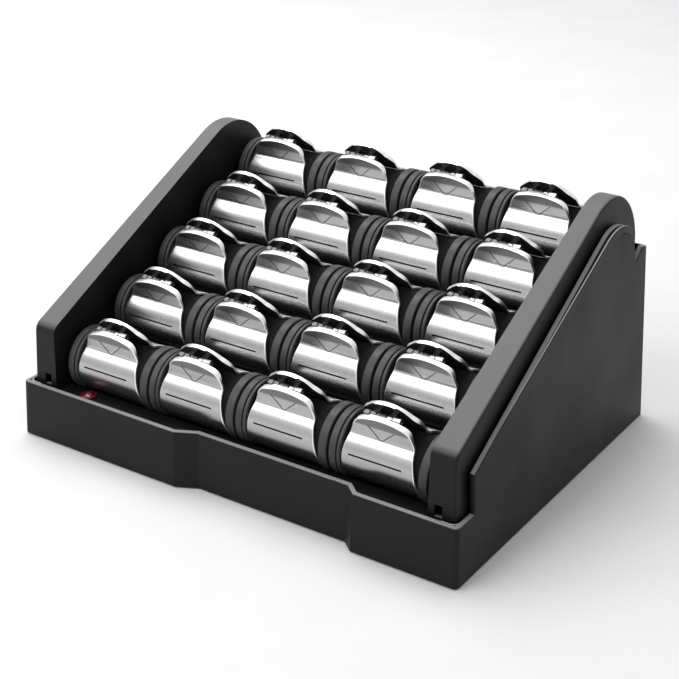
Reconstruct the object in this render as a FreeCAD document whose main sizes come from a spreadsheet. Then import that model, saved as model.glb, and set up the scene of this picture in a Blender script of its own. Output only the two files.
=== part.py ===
"""Heated hair roller setter: a heating base with a sloped rack that holds twenty clipped rollers.

Frame: +Z up, the front faces -Y, origin at the middle of the footprint on the surface it stands on.
Every size is in millimetres or degrees and lives in the spreadsheet "Sizes".
"""
import FreeCAD, Part

import math
import os

import Sketcher

ROWS = 5
COLUMNS = 4

SIZES = [
    # outer shell
    ("base_width", 291.0, "shell across its bottom edge"),
    ("base_depth", 224.0, "shell from front to back at its bottom edge"),
    ("base_lift", 1.0, "shell's bottom edge above the table"),
    ("draft_angle", 2.42, "inward lean of the moulded walls"),
    ("shell_wall", 2.6, "shell thickness"),
    ("shell_height", 160.0, "block that the shell is cut from"),
    ("shell_corner", 3.0, "upright corner radius"),
    ("recess_left", -32.0, "left end of the shallow recess in the front wall"),
    ("recess_right", 83.0, "right end of the recess"),
    ("recess_left_run", 12.0, "width of its left ramp"),
    ("recess_right_run", 7.0, "width of its right ramp"),
    ("recess_depth", 6.0, "depth of the recess"),
    ("front_top", 34.3, "top of the front wall"),
    ("step_front", -94.0, "where the side wall steps up"),
    ("side_slope", 0.525, "rise per length of the side wall's top"),
    ("side_level", 105.8, "height of that slope at the middle"),
    ("arch_radius", 29.0, "round at the top of the side wall"),
    ("arch_rear", 90.5, "rear end of that round"),
    ("ear_foot", 104.9, "height of the notch behind the round"),
    ("ear_place", 99.5, "place of the small ear behind the notch"),
    ("ear_top", 111.0, "height of that ear"),
    ("rear_place", 107.7, "place of the rear wall's top"),
    ("rear_top", 109.2, "height of the rear wall"),
    ("shell_rim", 1.2, "round along the rim"),
    ("side_part_start", 132.5, "where the shell's side parts start, from the middle"),
    # cheeks
    ("cheek_inner", 123.7, "cheek's inner face from the middle"),
    ("cheek_outer", 141.1, "cheek's outer face at the height of the shell's bottom edge"),
    ("cheek_bottom", 29.5, "cheek's open lower edge"),
    ("cheek_front", -106.1, "cheek's front face, carried down to the shell's bottom edge"),
    ("cheek_rear", 100.0, "cheek's rear face"),
    ("cheek_slope", 0.497, "rise per length of the cheek's top"),
    ("cheek_level", 119.9, "height of that slope at the middle"),
    ("cheek_crown", 34.5, "round at the cheek's rear top"),
    ("cheek_brow", 7.0, "round at the cheek's front top"),
    ("cheek_rim", 1.5, "round along the cheek's outer top edge"),
    ("cheek_wall", 2.2, "cheek thickness"),
    ("latch_inner", 127.4, "latch slot's inner side"),
    ("latch_width", 4.6, "latch slot's width"),
    ("latch_bottom", 33.6, "latch slot's lower end"),
    ("latch_height", 6.4, "latch slot's height"),
    # rack of rollers
    ("column_pitch", 60.0, "from one column of rollers to the next"),
    ("row_run", 40.58, "from one row to the next, backwards"),
    ("row_rise", 17.72, "from one row to the next, upwards"),
    ("first_row_place", -79.75, "front row's axis"),
    ("first_row_height", 44.55, "front row's height"),
    ("tray_half_width", 123.2, "rack tray's half width"),
    ("tray_sheet", 2.4, "rack tray's thickness"),
    ("tray_front", -107.6, "rack tray's front edge"),
    ("tray_rear", 104.4, "rack tray's rear edge"),
    ("tray_gap", 1.4, "gap between the tray and the recessed front wall"),
    ("deck_top", 30.5, "flat front deck"),
    ("shelf_top", 106.5, "flat rear shelf"),
    ("deck_drop", 13.55, "sloped deck below the rollers' axes"),
    ("trough_radius", 19.2, "trough around each row"),
    ("trough_outer", 21.6, "outside of that trough"),
    # heater
    ("cradle_outer", 21.4, "outside of a heated cradle"),
    ("cradle_spread", 22.0, "half angle of a heated cradle"),
    ("cradle_half_length", 118.0, "half length of a heated cradle"),
    ("cradle_gap", 0.5, "gap around a cradle in its slot"),
    ("rod_depth", 24.0, "heating rod below the rollers' axes"),
    ("rod_radius", 2.5, "heating rod's radius"),
    ("rod_reach", 112.0, "half length of a heating rod"),
    ("thermostat_depth", 25.0, "thermostat's lower face below the rollers' axes"),
    ("thermostat_radius", 8.0, "thermostat's radius"),
    ("thermostat_height", 8.0, "thermostat's height"),
    ("thermostat_collar", 5.8, "radius of the thermostat's lower half"),
    ("thermostat_step", 3.2, "height of that half"),
    # lamp
    ("lens_across", -104.3, "indicator lens from the middle"),
    ("lens_place", -99.6, "indicator lens from front to back"),
    ("lens_radius", 4.9, "indicator lens's flange"),
    ("lens_dome", 4.1, "indicator lens's dome"),
    ("lens_rise", 2.4, "top of the dome above the deck"),
    ("lens_flange_sheet", 0.9, "lens flange's thickness"),
    ("lens_stem", 3.4, "lens's stem through the deck"),
    ("lens_stem_length", 6.0, "stem's length"),
    # underside
    ("plate_sheet", 2.2, "bottom plate's thickness"),
    ("plate_gap", 0.5, "gap around the bottom plate"),
    ("foot_across", 125.0, "foot from the middle, sideways"),
    ("foot_place", 90.0, "foot from the middle, front and back"),
    ("foot_radius", 7.0, "rubber foot's radius"),
    ("foot_height", 2.0, "rubber foot's height"),
    ("foot_edge", 0.4, "round of the foot's lower edge"),
    ("foot_gap", 0.15, "gap around a foot in its recess"),
    ("boss_across", 138.0, "screw boss from the middle, sideways"),
    ("boss_place", 103.0, "screw boss from the middle, front and back"),
    ("boss_radius", 4.5, "screw boss's radius"),
    ("boss_top", 28.0, "screw boss's top"),
    ("screw_radius", 1.25, "screw shank's radius"),
    ("screw_head", 2.9, "screw head's radius"),
    ("screw_head_height", 1.1, "screw head's height"),
    ("screw_length", 14.0, "screw's length with its head"),
    ("gland_across", -60.0, "cord gland from the middle"),
    ("gland_height", 13.0, "cord gland's axis"),
    ("gland_front", 100.0, "cord gland's inner end"),
    ("gland_length", 11.1, "cord gland's length"),
    ("gland_radius", 7.0, "cord gland's body radius"),
    ("gland_flange", 9.0, "cord gland's flange radius"),
    ("gland_bore", 3.4, "cord gland's bore radius"),
    ("gland_flange_start", 5.3, "gland flange's inner face from the gland's inner end"),
    ("gland_flange_end", 8.0, "gland flange's outer face"),
    ("gland_tongue_start", 9.2, "tongue that closes the notch under the gland"),
    ("fit_gap", 0.2, "gap around parts that are let into the shell"),
    # roller
    ("roller_half", 29.25, "roller's half length"),
    ("ring_radius", 18.8, "roller's end rings"),
    ("core_radius", 16.0, "roller's body, 32 mm across"),
    ("groove_radius", 17.4, "groove between the two left rings"),
    ("groove_left", -25.1, "groove's left side"),
    ("groove_right", -24.3, "groove's right side"),
    ("body_left", -22.4, "left end of the body"),
    ("body_right", 24.1, "right end of the body"),
    ("end_recess_radius", 13.0, "shallow recess in each end"),
    ("end_recess_depth", 1.2, "depth of that recess"),
    # clip, in its own frame: X along the roller, front towards -Y, Z towards the hinge
    ("clip_tilt", 19.0, "clip leans forward by"),
    ("clip_radius", 18.0, "outside of the clip around the roller"),
    ("clip_sheet", 0.7, "clip's sheet thickness"),
    ("jaw_foot_angle", 113.0, "lower end of a jaw, from the hinge direction"),
    ("jaw_neck_angle", 24.0, "where the jaw's round turns straight"),
    ("jaw_lean", 0.163, "inward lean of the straight part"),
    ("clip_left", -22.0, "jaw's left edge"),
    ("clip_right", 23.7, "jaw's right edge at its foot"),
    ("left_straight_end", 9.0, "level where the left edge starts to close in"),
    ("left_neck_level", 15.0, "level of the left edge's neck"),
    ("left_neck", -20.5, "left edge at its neck"),
    ("left_shoulder", -18.5, "left edge at its shoulder"),
    ("left_shoulder_drop", 6.0, "left shoulder below the crest's ends"),
    ("right_straight_end", -6.4, "level where the right edge starts to close in"),
    ("right_waist_level", 9.5, "level of the right edge's waist"),
    ("right_waist", 20.7, "right edge at its waist"),
    ("right_neck_level", 17.0, "level of the right edge's neck"),
    ("right_neck", 18.2, "right edge at its neck"),
    ("right_shoulder", 17.0, "right edge at its shoulder"),
    ("right_shoulder_drop", 5.0, "right shoulder below the crest's ends"),
    ("clip_middle", -1.2, "middle of the jaw's crest"),
    ("crest_half", 13.4, "half width of the crest's arc"),
    ("front_crest_level", 26.0, "ends of the front crest's arc"),
    ("front_crest_radius", 42.0, "front crest's arc"),
    ("rear_crest_level", 27.0, "ends of the rear crest's arc"),
    ("rear_crest_radius", 19.0, "rear crest's arc"),
    ("shoulder_radius", 8.0, "round at the shoulder of the jaw"),
    ("lip_back", 2.5, "rear edge of the front jaw's folded lip, before the hinge"),
    ("rear_lip_back", 3.1, "the same for the rear jaw"),
    ("lip_drop", 1.3, "underside of the folded lip below the crest's top"),
    ("lip_foot", 19.0, "lower end of the folded lip"),
    ("slit_length", 32.7, "slit in the jaw"),
    ("slit_middle", -1.95, "middle of the slit"),
    ("slit_width", 0.9, "slit's width"),
    ("slit_angle", 62.0, "slit from the hinge direction"),
    ("hinge_level", 25.2, "hinge pin's axis"),
    ("pin_radius", 1.05, "hinge pin's radius"),
    ("knuckle_bore", 1.1, "knuckle's bore radius"),
    ("knuckle_radius", 1.9, "knuckle's outer radius"),
    ("web_drop", 0.8, "knuckle web's lower face below the hinge"),
    ("web_sheet", 1.3, "knuckle web's thickness"),
    ("pin_left", -14.2, "hinge pin's left end"),
    ("pin_right", 7.3, "hinge pin's right end"),
    ("spring_radius", 2.1, "torsion spring's outer radius"),
    ("spring_left", -6.3, "torsion spring's left end"),
    ("spring_right", -0.3, "torsion spring's right end"),
]
# each knuckle's left end and width along the hinge pin
FRONT_KNUCKLES = [("front_knuckle_a", 3.3, 4.6), ("front_knuckle_b", -13.3, 3.0)]
REAR_KNUCKLES = [("rear_knuckle_a", -0.1, 3.1), ("rear_knuckle_b", -10.0, 3.4)]
for knuckle, left, width in FRONT_KNUCKLES + REAR_KNUCKLES:
    SIZES.append((knuckle + "_left", left, "knuckle's left end"))
    SIZES.append((knuckle + "_width", width, "knuckle's width"))

TOOL_REACH = 20  # how far a cutting tool runs past what it cuts

PLANES = {
    "XY": FreeCAD.Rotation(),
    "XZ": FreeCAD.Rotation(FreeCAD.Vector(1, 0, 0), 90),
    "YZ": FreeCAD.Rotation(FreeCAD.Vector(1, 1, 1), 120),
}
NORMALS = {
    "XY": FreeCAD.Vector(0, 0, 1),
    "XZ": FreeCAD.Vector(0, 1, 0),
    "YZ": FreeCAD.Vector(1, 0, 0),
}
AXIS_OF = {"XY": "z", "XZ": "y", "YZ": "x"}


class Size:
    """A number together with the spreadsheet expression that gives it."""

    def __init__(self, number, text):
        self.number = float(number)
        self.text = text

    def __add__(self, other):
        other = size(other)
        return Size(self.number + other.number, "(%s + %s)" % (self.text, other.text))

    def __sub__(self, other):
        other = size(other)
        return Size(self.number - other.number, "(%s - %s)" % (self.text, other.text))

    def __mul__(self, other):
        other = size(other)
        return Size(self.number * other.number, "(%s * %s)" % (self.text, other.text))

    def __truediv__(self, other):
        other = size(other)
        return Size(self.number / other.number, "(%s / %s)" % (self.text, other.text))

    def __neg__(self):
        return Size(-self.number, "(0 - %s)" % self.text)


def size(value):
    if isinstance(value, Size):
        return value
    return Size(value, "(%.6f)" % value)


def root(value):
    return Size(math.sqrt(value.number), "sqrt(%s)" % value.text)


def sine(angle):
    return Size(math.sin(math.radians(angle.number)), "sin(%s)" % angle.text)


def cosine(angle):
    return Size(math.cos(math.radians(angle.number)), "cos(%s)" % angle.text)


def arc_tangent(ratio):
    return Size(math.degrees(math.atan(ratio.number)), "(atan(%s) / 1 deg)" % ratio.text)


class Dimensions:
    """The spreadsheet's cells, read by name."""

    def __init__(self, sheet):
        for row, (alias, value, meaning) in enumerate(SIZES, start=1):
            sheet.set("A%d" % row, alias)
            sheet.set("B%d" % row, "%g" % value)
            sheet.set("C%d" % row, meaning)
            sheet.setAlias("B%d" % row, alias)
            setattr(self, alias, Size(value, "Sizes." + alias))


doc = FreeCAD.newDocument("setter")
sheet = doc.addObject("Spreadsheet::Sheet", "Sizes")
dim = Dimensions(sheet)
doc.recompute()


def bind(thing, path, value):
    """Give a property its number, then tie it to the spreadsheet."""
    value = size(value)
    thing.setExpression(path, value.text)


# ---------------------------------------------------------------- sketches and simple solids

def arc_between(start, stop, radius, turn):
    """The short arc from start to stop; turn is +1 when it bends left and -1 when it bends right."""
    chord = stop - start
    half = chord.Length / 2
    side = FreeCAD.Vector(-chord.y, chord.x, 0).normalize()
    centre = (start + stop) * 0.5 + side * (turn * math.sqrt(radius * radius - half * half))
    first, last = (start, stop) if turn > 0 else (stop, start)
    begin = math.atan2(first.y - centre.y, first.x - centre.x)
    end = math.atan2(last.y - centre.y, last.x - centre.x)
    if end < begin:
        end += 2 * math.pi
    return Part.ArcOfCircle(Part.Circle(centre, FreeCAD.Vector(0, 0, 1), radius), begin, end)


def draw(sketch, outline):
    """Draw a closed outline of (across, up) corners, every corner tied to the spreadsheet.

    A corner may also hold the radius and the turn of the arc that leaves it.
    """
    ends = []
    for index, corner in enumerate(outline):
        following = outline[(index + 1) % len(outline)]
        start = FreeCAD.Vector(size(corner[0]).number, size(corner[1]).number, 0)
        stop = FreeCAD.Vector(size(following[0]).number, size(following[1]).number, 0)
        if len(corner) == 2:
            sketch.addGeometry(Part.LineSegment(start, stop))
            ends.append((1, 2))
        else:
            sketch.addGeometry(arc_between(start, stop, corner[2].number, corner[3]))
            ends.append((1, 2) if corner[3] > 0 else (2, 1))
    for index, corner in enumerate(outline):
        following = (index + 1) % len(outline)
        meeting = (index, ends[index][1], following, ends[following][0])
        sketch.addConstraint(Sketcher.Constraint("Coincident", *meeting))
        for kind, axis, value in (("DistanceX", -2, size(corner[0])), ("DistanceY", -1, size(corner[1]))):
            if value.number == 0:
                sketch.addConstraint(Sketcher.Constraint("PointOnObject", index, ends[index][0], axis))
                continue
            made = sketch.addConstraint(Sketcher.Constraint(kind, -1, 1, index, ends[index][0], value.number))
            bind(sketch, "Constraints[%d]" % made, value)
        if len(corner) > 2:
            made = sketch.addConstraint(Sketcher.Constraint("Radius", index, corner[2].number))
            bind(sketch, "Constraints[%d]" % made, corner[2])


def extruded(name, plane, outline, low, high):
    """A prism over an outline, from low to high along the plane's axis."""
    sketch = doc.addObject("Sketcher::SketchObject", name + "_sketch")
    sketch.Placement = FreeCAD.Placement(FreeCAD.Vector(), PLANES[plane])
    bind(sketch, "Placement.Base." + AXIS_OF[plane], low)
    draw(sketch, outline)
    prism = doc.addObject("Part::Extrusion", name)
    prism.Base = sketch
    prism.DirMode = "Custom"
    prism.Dir = NORMALS[plane]
    prism.Solid = True
    bind(prism, "LengthFwd", size(high) - low)
    return prism


def box(name, corner, extent):
    """A box from its lowest corner and its extent."""
    block = doc.addObject("Part::Box", name)
    for axis, value in zip("xyz", corner):
        bind(block, "Placement.Base." + axis, value)
    for side, value in zip(("Length", "Width", "Height"), extent):
        bind(block, side, value)
    return block


def rod(name, radius, base, length, axis="Z"):
    """A cylinder from the middle of one end, along one axis."""
    cylinder = doc.addObject("Part::Cylinder", name)
    turns = {
        "Z": FreeCAD.Rotation(),
        "X": FreeCAD.Rotation(FreeCAD.Vector(0, 1, 0), 90),
        "Y": FreeCAD.Rotation(FreeCAD.Vector(1, 0, 0), -90),
    }
    cylinder.Placement = FreeCAD.Placement(FreeCAD.Vector(), turns[axis])
    for name_of_axis, value in zip("xyz", base):
        bind(cylinder, "Placement.Base." + name_of_axis, value)
    bind(cylinder, "Radius", radius)
    bind(cylinder, "Height", length)
    return cylinder


def fused(name, shapes):
    union = doc.addObject("Part::MultiFuse", name)
    union.Shapes = shapes
    return union


def common(name, first, second):
    overlap = doc.addObject("Part::Common", name)
    overlap.Base = first
    overlap.Tool = second
    return overlap


def cut(name, shape, tool):
    rest = doc.addObject("Part::Cut", name)
    rest.Base = shape
    rest.Tool = tool
    return rest


def mirrored(name, source, normal):
    copy = doc.addObject("Part::Mirroring", name)
    copy.Source = source
    copy.Normal = normal
    return copy


def placed(name, sources, base=(0, 0, 0), turn=None):
    """The sources together at a place, turned about X by an angle."""
    copy = doc.addObject("Part::Compound", name)
    copy.Links = sources
    if turn is not None:
        copy.Placement = FreeCAD.Placement(FreeCAD.Vector(), FreeCAD.Rotation(FreeCAD.Vector(1, 0, 0), 1))
        bind(copy, "Placement.Rotation.Angle", turn)
    for axis, value in zip("xyz", base):
        bind(copy, "Placement.Base." + axis, value)
    return copy


def new_sketch(body, name, plane, outline, offset=0):
    sketch = body.newObject("Sketcher::SketchObject", name)
    roles = {feature.Role: feature for feature in body.Origin.OriginFeatures}
    sketch.AttachmentSupport = [(roles[plane + "_Plane"], "")]
    sketch.MapMode = "FlatFace"
    bind(sketch, "AttachmentOffset.Base.z", offset)
    draw(sketch, outline)
    return sketch


def turned(name, outline, axis="V_Axis"):
    """A body turned about the sketch's own vertical (Z) or horizontal (X) axis."""
    body = doc.addObject("PartDesign::Body", name)
    sketch = new_sketch(body, name + "_sketch", "XZ", outline)
    turning = body.newObject("PartDesign::Revolution", name + "_turning")
    turning.Profile = sketch
    turning.ReferenceAxis = (sketch, [axis])
    turning.Angle = 360
    return body


def pad(body, sketch, length, taper=None, symmetric=False):
    feature = body.newObject("PartDesign::Pad", sketch.Name + "_pad")
    feature.Profile = sketch
    feature.SideType = "Symmetric" if symmetric else "One side"
    bind(feature, "Length", length)
    if taper is not None:
        bind(feature, "TaperAngle", taper)
    return feature


def pocket(body, sketch, length):
    """A pocket to both sides of its sketch, which must take something away."""
    doc.recompute()
    before = body.Shape.Volume
    feature = body.newObject("PartDesign::Pocket", sketch.Name + "_pocket")
    feature.Profile = sketch
    feature.SideType = "Symmetric"
    bind(feature, "Length", length)
    doc.recompute()
    if body.Shape.Volume > before - 1:
        raise RuntimeError(sketch.Name + " took nothing away")
    return feature


def round_edges(body, name, radius, wanted):
    """Round the edges of the body's tip for which wanted(edge, faces) is true."""
    doc.recompute()
    tip = body.Tip
    names = []
    for number, edge in enumerate(tip.Shape.Edges, start=1):
        faces = tip.Shape.ancestorsOfType(edge, Part.Face)
        if wanted(edge, faces):
            names.append("Edge%d" % number)
    if not names:
        raise RuntimeError("no edge for " + name)
    feature = body.newObject("PartDesign::Fillet", name)
    feature.Base = (tip, names)
    bind(feature, "Radius", radius)
    doc.recompute()
    if "Invalid" in feature.State or "Error" in feature.State:
        raise RuntimeError(name + " failed")
    return feature


def direction(edge):
    """The edge's direction from end to end."""
    return (edge.Vertexes[-1].Point - edge.Vertexes[0].Point).normalize()


def outward(face):
    """The face's outward normal at its middle."""
    low_u, high_u, low_v, high_v = face.ParameterRange
    return face.normalAt((low_u + high_u) / 2, (low_v + high_v) / 2)


# ---------------------------------------------------------------- places in the rack

rack_angle = arc_tangent(dim.row_rise / dim.row_run)
row_pitch = root(dim.row_run * dim.row_run + dim.row_rise * dim.row_rise)


def row_axis(row):
    """Place and height of a row's axis; the front row is 0."""
    return dim.first_row_place + dim.row_run * row, dim.first_row_height + dim.row_rise * row


def column_middle(column):
    return dim.column_pitch * (column - (COLUMNS - 1) / 2)


def below_axis(row, depth):
    """Place and height of the point that lies under a row's axis, at right angles to the rack."""
    place, height = row_axis(row)
    return place + depth * sine(rack_angle), height - depth * cosine(rack_angle)


# ---------------------------------------------------------------- shell

def footprint(inset):
    """The shell's outline seen from above, moved inwards by inset."""
    half_width = dim.base_width / 2 - inset
    half_depth = dim.base_depth / 2 - inset
    left_slant = root(dim.recess_left_run * dim.recess_left_run + dim.recess_depth * dim.recess_depth)
    right_slant = root(dim.recess_right_run * dim.recess_right_run + dim.recess_depth * dim.recess_depth)
    left_shift = (left_slant - dim.recess_left_run) / dim.recess_depth * inset
    right_shift = (right_slant - dim.recess_right_run) / dim.recess_depth * inset
    recess_back = dim.recess_depth - half_depth
    return [
        (-half_width, -half_depth),
        (dim.recess_left - left_shift, -half_depth),
        (dim.recess_left + dim.recess_left_run - left_shift, recess_back),
        (dim.recess_right - dim.recess_right_run + right_shift, recess_back),
        (dim.recess_right + right_shift, -half_depth),
        (half_width, -half_depth),
        (half_width, half_depth),
        (-half_width, half_depth),
    ]


def drafted_block(name, inset):
    body = doc.addObject("PartDesign::Body", name)
    sketch = new_sketch(body, name + "_footprint", "XY", footprint(inset), dim.base_lift)
    pad(body, sketch, dim.shell_height, taper=-dim.draft_angle)
    return body


def make_outer_shell():
    block = drafted_block("shell_block", 0)
    half_width = dim.base_width.number / 2

    def corner_edge(edge, faces):
        return abs(direction(edge).z) > 0.9 and abs(edge.CenterOfMass.x) > half_width - 15

    round_edges(block, "shell_corners", dim.shell_corner, corner_edge)
    beyond = dim.base_depth
    sky = dim.shell_height * 2
    step_top = dim.side_level + dim.side_slope * dim.step_front
    arch_top = dim.side_level + dim.side_slope * dim.arch_rear
    profile = [
        (-beyond, dim.front_top),
        (dim.step_front, dim.front_top),
        (dim.step_front, step_top),
        (dim.arch_rear, arch_top),
        (dim.arch_rear, dim.ear_foot),
        (dim.ear_place, dim.ear_top),
        (dim.rear_place, dim.rear_top),
        (beyond, dim.rear_top),
        (beyond, sky),
        (-beyond, sky),
    ]
    above = new_sketch(block, "shell_profile", "YZ", profile)
    pocket(block, above, dim.base_width * 2)

    def arch_edge(edge, faces):
        middle = edge.CenterOfMass
        return abs(direction(edge).x) > 0.9 and abs(middle.z - arch_top.number) < 1

    round_edges(block, "shell_arch", dim.arch_radius, arch_edge)

    def rim_edge(edge, faces):
        if edge.BoundBox.ZMax < dim.front_top.number - 1:
            return False
        walls = sorted(0.03 < outward(face).z < 0.08 for face in faces)
        return walls == [False, True]

    round_edges(block, "shell_rim_round", dim.shell_rim, rim_edge)
    hollow = cut("shell_walls", block, drafted_block("shell_hollow", dim.shell_wall))
    bosses = []
    holes = []
    floor = dim.base_lift + dim.plate_sheet + dim.fit_gap
    for number, (across, place) in enumerate(corners(dim.boss_across, dim.boss_place)):
        foot = (across, place, floor)
        bosses.append(rod("boss_%d" % number, dim.boss_radius, foot, dim.boss_top - floor))
        holes.append(rod("boss_hole_%d" % number, dim.screw_radius + 0.05, foot, dim.screw_length))
    notch_radius = dim.gland_radius + dim.fit_gap
    notch_place = dim.gland_front + 5
    notch_low = (dim.gland_across - notch_radius, notch_place, dim.base_lift - 1)
    notch_size = (notch_radius * 2, size(TOOL_REACH), dim.gland_height - dim.base_lift + 1)
    holes.append(box("gland_notch", notch_low, notch_size))
    gland_middle = (dim.gland_across, notch_place, dim.gland_height)
    holes.append(rod("gland_notch_top", notch_radius, gland_middle, TOOL_REACH, "Y"))
    shell = cut("shell_whole", fused("shell_with_bosses", [hollow] + bosses), fused("shell_holes", holes))
    return parted("outer_shell", shell)


def parted(name, shell):
    """The shell as four solids that meet at planes, so that each wall collides as a wall."""
    split = dim.side_part_start
    wide = dim.base_width
    deep = dim.base_depth
    tall = dim.shell_height
    regions = [
        ("left", (-split - wide, -deep, 0), (wide, deep * 2, tall)),
        ("right", (split, -deep, 0), (wide, deep * 2, tall)),
        ("front", (-split, -deep, 0), (split * 2, deep, tall)),
        ("rear", (-split, 0, 0), (split * 2, deep, tall)),
    ]
    parts = []
    for side, low, extent in regions:
        parts.append(common("shell_" + side, shell, box("region_" + side, low, extent)))
    return placed(name, parts)


def corners(across, place):
    """The four corners of a centred rectangle."""
    return [(-across, -place), (across, -place), (across, place), (-across, place)]


# ---------------------------------------------------------------- cheeks

def cheek_block(name, inset, bottom, rim):
    """The right cheek's solid, moved inwards by inset."""
    lean = root(dim.cheek_slope * dim.cheek_slope + 1)
    draft = sine(dim.draft_angle) / cosine(dim.draft_angle)

    def front(height):
        return dim.cheek_front + draft * (height - dim.base_lift) + inset

    level = dim.cheek_level - lean * inset
    rear = dim.cheek_rear - inset
    brow = (level + dim.cheek_slope * front(dim.base_lift)) / (size(1) - draft * dim.cheek_slope)
    outline = [
        (front(bottom), bottom),
        (rear, bottom),
        (rear, level + dim.cheek_slope * rear),
        (front(brow), level + dim.cheek_slope * front(brow)),
    ]
    body = doc.addObject("PartDesign::Body", name)
    inner = dim.cheek_inner + inset
    sketch = new_sketch(body, name + "_side", "YZ", outline, inner)
    pad(body, sketch, dim.base_width / 2 - inner)
    crown_height = (level + dim.cheek_slope * rear).number
    brow_height = (level + dim.cheek_slope * front(brow)).number

    def crown_edge(edge, faces):
        return abs(direction(edge).x) > 0.9 and abs(edge.CenterOfMass.z - crown_height) < 1

    def brow_edge(edge, faces):
        return abs(direction(edge).x) > 0.9 and abs(edge.CenterOfMass.z - brow_height) < 1

    round_edges(body, name + "_crown", dim.cheek_crown - inset, crown_edge)
    round_edges(body, name + "_brow", dim.cheek_brow - inset, brow_edge)
    top = dim.shell_height + 50
    outside = [
        (dim.cheek_outer - inset, dim.base_lift),
        (dim.base_width, dim.base_lift),
        (dim.base_width, top),
        (dim.cheek_outer - inset - draft * (top - dim.base_lift), top),
    ]
    pocket(body, new_sketch(body, name + "_outside", "XZ", outside), dim.base_depth * 3)
    if rim:
        def rim_edge(edge, faces):
            if len(faces) != 2 or edge.BoundBox.ZMax < bottom.number + 1:
                return False
            outer = sorted(outward(face).x > 0.9 and abs(outward(face).z) > 0.01 for face in faces)
            return outer == [False, True]

        round_edges(body, name + "_rim", dim.cheek_rim, rim_edge)
    return body


def make_cheeks():
    outside = cheek_block("cheek_outside", size(0), dim.cheek_bottom, True)
    inside = cheek_block("cheek_inside", dim.cheek_wall, dim.cheek_bottom - 5, False)
    latch_low = (dim.latch_inner, dim.cheek_front - 5, dim.latch_bottom)
    latch = box("latch_slot", latch_low, (dim.latch_width, size(12), dim.latch_height))
    right = cut("right_cheek", outside, fused("cheek_hollow", [inside, latch]))
    left = mirrored("left_cheek", right, FreeCAD.Vector(1, 0, 0))
    return left, right


# ---------------------------------------------------------------- rack tray and heater

def deck_height(place, drop):
    """Height of the sloped deck, or of its underside, at a place."""
    return dim.first_row_height - drop + dim.row_rise / dim.row_run * (place - dim.first_row_place)


def deck_place(height, drop):
    """Place where the sloped deck, or its underside, has a height."""
    return dim.first_row_place + (height - dim.first_row_height + drop) / (dim.row_rise / dim.row_run)


def cradle_sector(name, gap, half_length):
    """The arc strip under one row, about the row's axis, with a gap all round it."""
    inner = dim.trough_radius - gap
    outer = dim.cradle_outer + gap
    spread = dim.cradle_spread + gap
    outline = []
    for radius, side in ((outer, -1), (outer, 1), (inner, 1), (inner, -1)):
        outline.append([sine(spread) * radius * side, -cosine(spread) * radius])
    outline[0] += [outer, 1]
    outline[2] += [inner, -1]
    return extruded(name, "YZ", outline, -half_length, half_length)


def in_each_row(name, source):
    """The source once under every row, square to the rack."""
    copies = []
    for row in range(ROWS):
        place, height = row_axis(row)
        copies.append(placed("%s_%d" % (name, row + 1), [source], (0, place, height), rack_angle))
    return copies


def make_rack_tray():
    wide = dim.tray_half_width
    top = [
        (dim.tray_front, dim.deck_top),
        (deck_place(dim.deck_top, dim.deck_drop), dim.deck_top),
        (deck_place(dim.shelf_top, dim.deck_drop), dim.shelf_top),
        (dim.tray_rear, dim.shelf_top),
    ]
    slope_drop = dim.deck_drop + dim.tray_sheet / cosine(rack_angle)
    shelf_under = dim.shelf_top - dim.tray_sheet
    deck_under = dim.deck_top - dim.tray_sheet
    underside = [
        (dim.tray_rear, shelf_under),
        (deck_place(shelf_under, slope_drop), shelf_under),
        (deck_place(deck_under, slope_drop), deck_under),
        (dim.tray_front, deck_under),
    ]
    sheet_solid = extruded("tray_sheet_solid", "YZ", top + underside, -wide, wide)
    below = top + [(dim.tray_rear, dim.base_lift), (dim.tray_front, dim.base_lift)]
    below_deck = extruded("below_deck", "YZ", below, -wide, wide)
    outsides = []
    tools = []
    for row in range(ROWS):
        place, height = row_axis(row)
        end = (-wide, place, height)
        outsides.append(rod("trough_outside_%d" % (row + 1), dim.trough_outer, end, wide * 2, "X"))
        tools.append(rod("trough_%d" % (row + 1), dim.trough_radius, end, wide * 2, "X"))
    troughs = common("troughs", fused("trough_outsides", outsides), below_deck)
    slot = cradle_sector("cradle_slot", dim.cradle_gap, dim.cradle_half_length + dim.cradle_gap)
    tools += in_each_row("cradle_slot", slot)
    hole_foot = (dim.lens_across, dim.lens_place, dim.deck_top - TOOL_REACH)
    tools.append(rod("lens_hole", dim.lens_stem + dim.fit_gap, hole_foot, TOOL_REACH * 2))
    gap = dim.shell_wall + dim.tray_gap
    slack = footprint(gap)[1:5]
    outside = -dim.base_depth
    recess = [(slack[0][0], outside)] + slack + [(slack[3][0], outside)]
    low = dim.deck_top - TOOL_REACH
    tools.append(extruded("recess_clearance", "XY", recess, low, dim.deck_top + TOOL_REACH))
    return cut("rack_tray", fused("tray_solid", [sheet_solid, troughs]), fused("tray_tools", tools))


def make_heater_cradles():
    strip = cradle_sector("cradle_strip", size(0), dim.cradle_half_length)
    return placed("heater_cradles", in_each_row("cradle", strip))


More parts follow.
